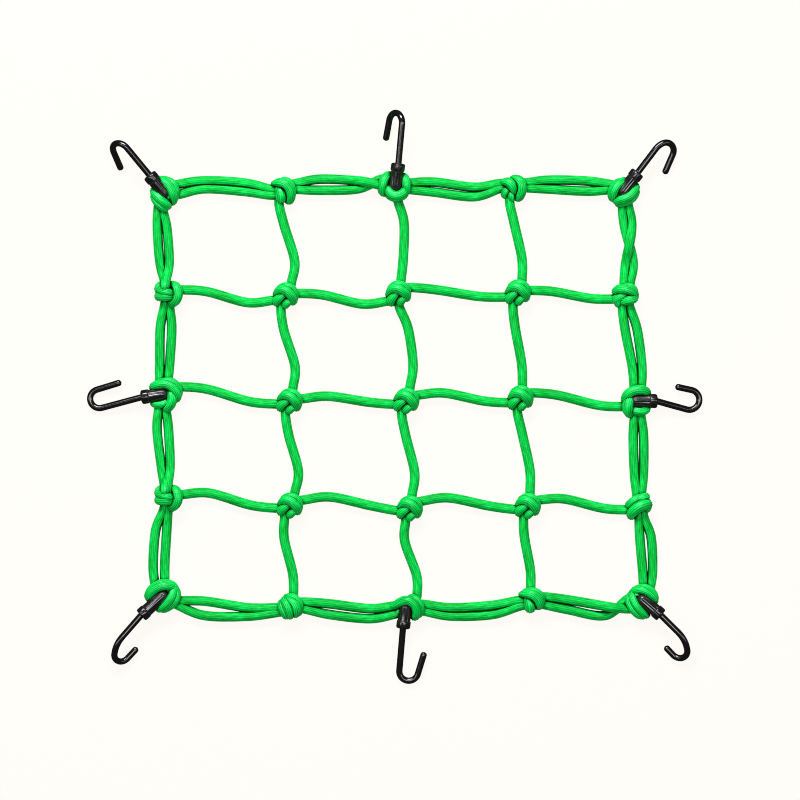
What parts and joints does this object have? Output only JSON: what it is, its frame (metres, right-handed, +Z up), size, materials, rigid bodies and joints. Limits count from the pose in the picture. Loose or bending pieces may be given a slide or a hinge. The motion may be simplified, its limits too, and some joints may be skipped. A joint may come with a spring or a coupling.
{
  "type": "luggage net",
  "caption": "Knotted elastic cord luggage net with a doubled rim, laid flat, and wire hooks in plastic sleeves at its corners and mid-sides.",
  "frame": {"origin": "middle of the bounding box, on the surface that the net lies on", "axes": "+X to the right and +Y away from the viewer in the picture, +Z up from the surface"},
  "size_m": [0.4312, 0.4016, 0.0197],
  "materials": {
    "cord": "braided elastic cord, bright green with a slight sheen",
    "coated_wire": "glossy black coating on steel wire",
    "moulded_sleeve": "moulded black plastic, satin with soft streaks"
  },
  "bodies": {
    "root": {"net": "cord", "hook_wire_far_left": "coated_wire", "hook_wire_far_middle": "coated_wire", "hook_wire_far_right": "coated_wire", "hook_wire_left": "coated_wire", "hook_wire_right": "coated_wire", "hook_wire_near_left": "coated_wire", "hook_wire_near_middle": "coated_wire", "hook_wire_near_right": "coated_wire", "hook_sleeve_far_left": "moulded_sleeve", "hook_sleeve_far_middle": "moulded_sleeve", "hook_sleeve_far_right": "moulded_sleeve", "hook_sleeve_left": "moulded_sleeve", "hook_sleeve_right": "moulded_sleeve", "hook_sleeve_near_left": "moulded_sleeve", "hook_sleeve_near_middle": "moulded_sleeve", "hook_sleeve_near_right": "moulded_sleeve"}
  },
  "joints": []
}
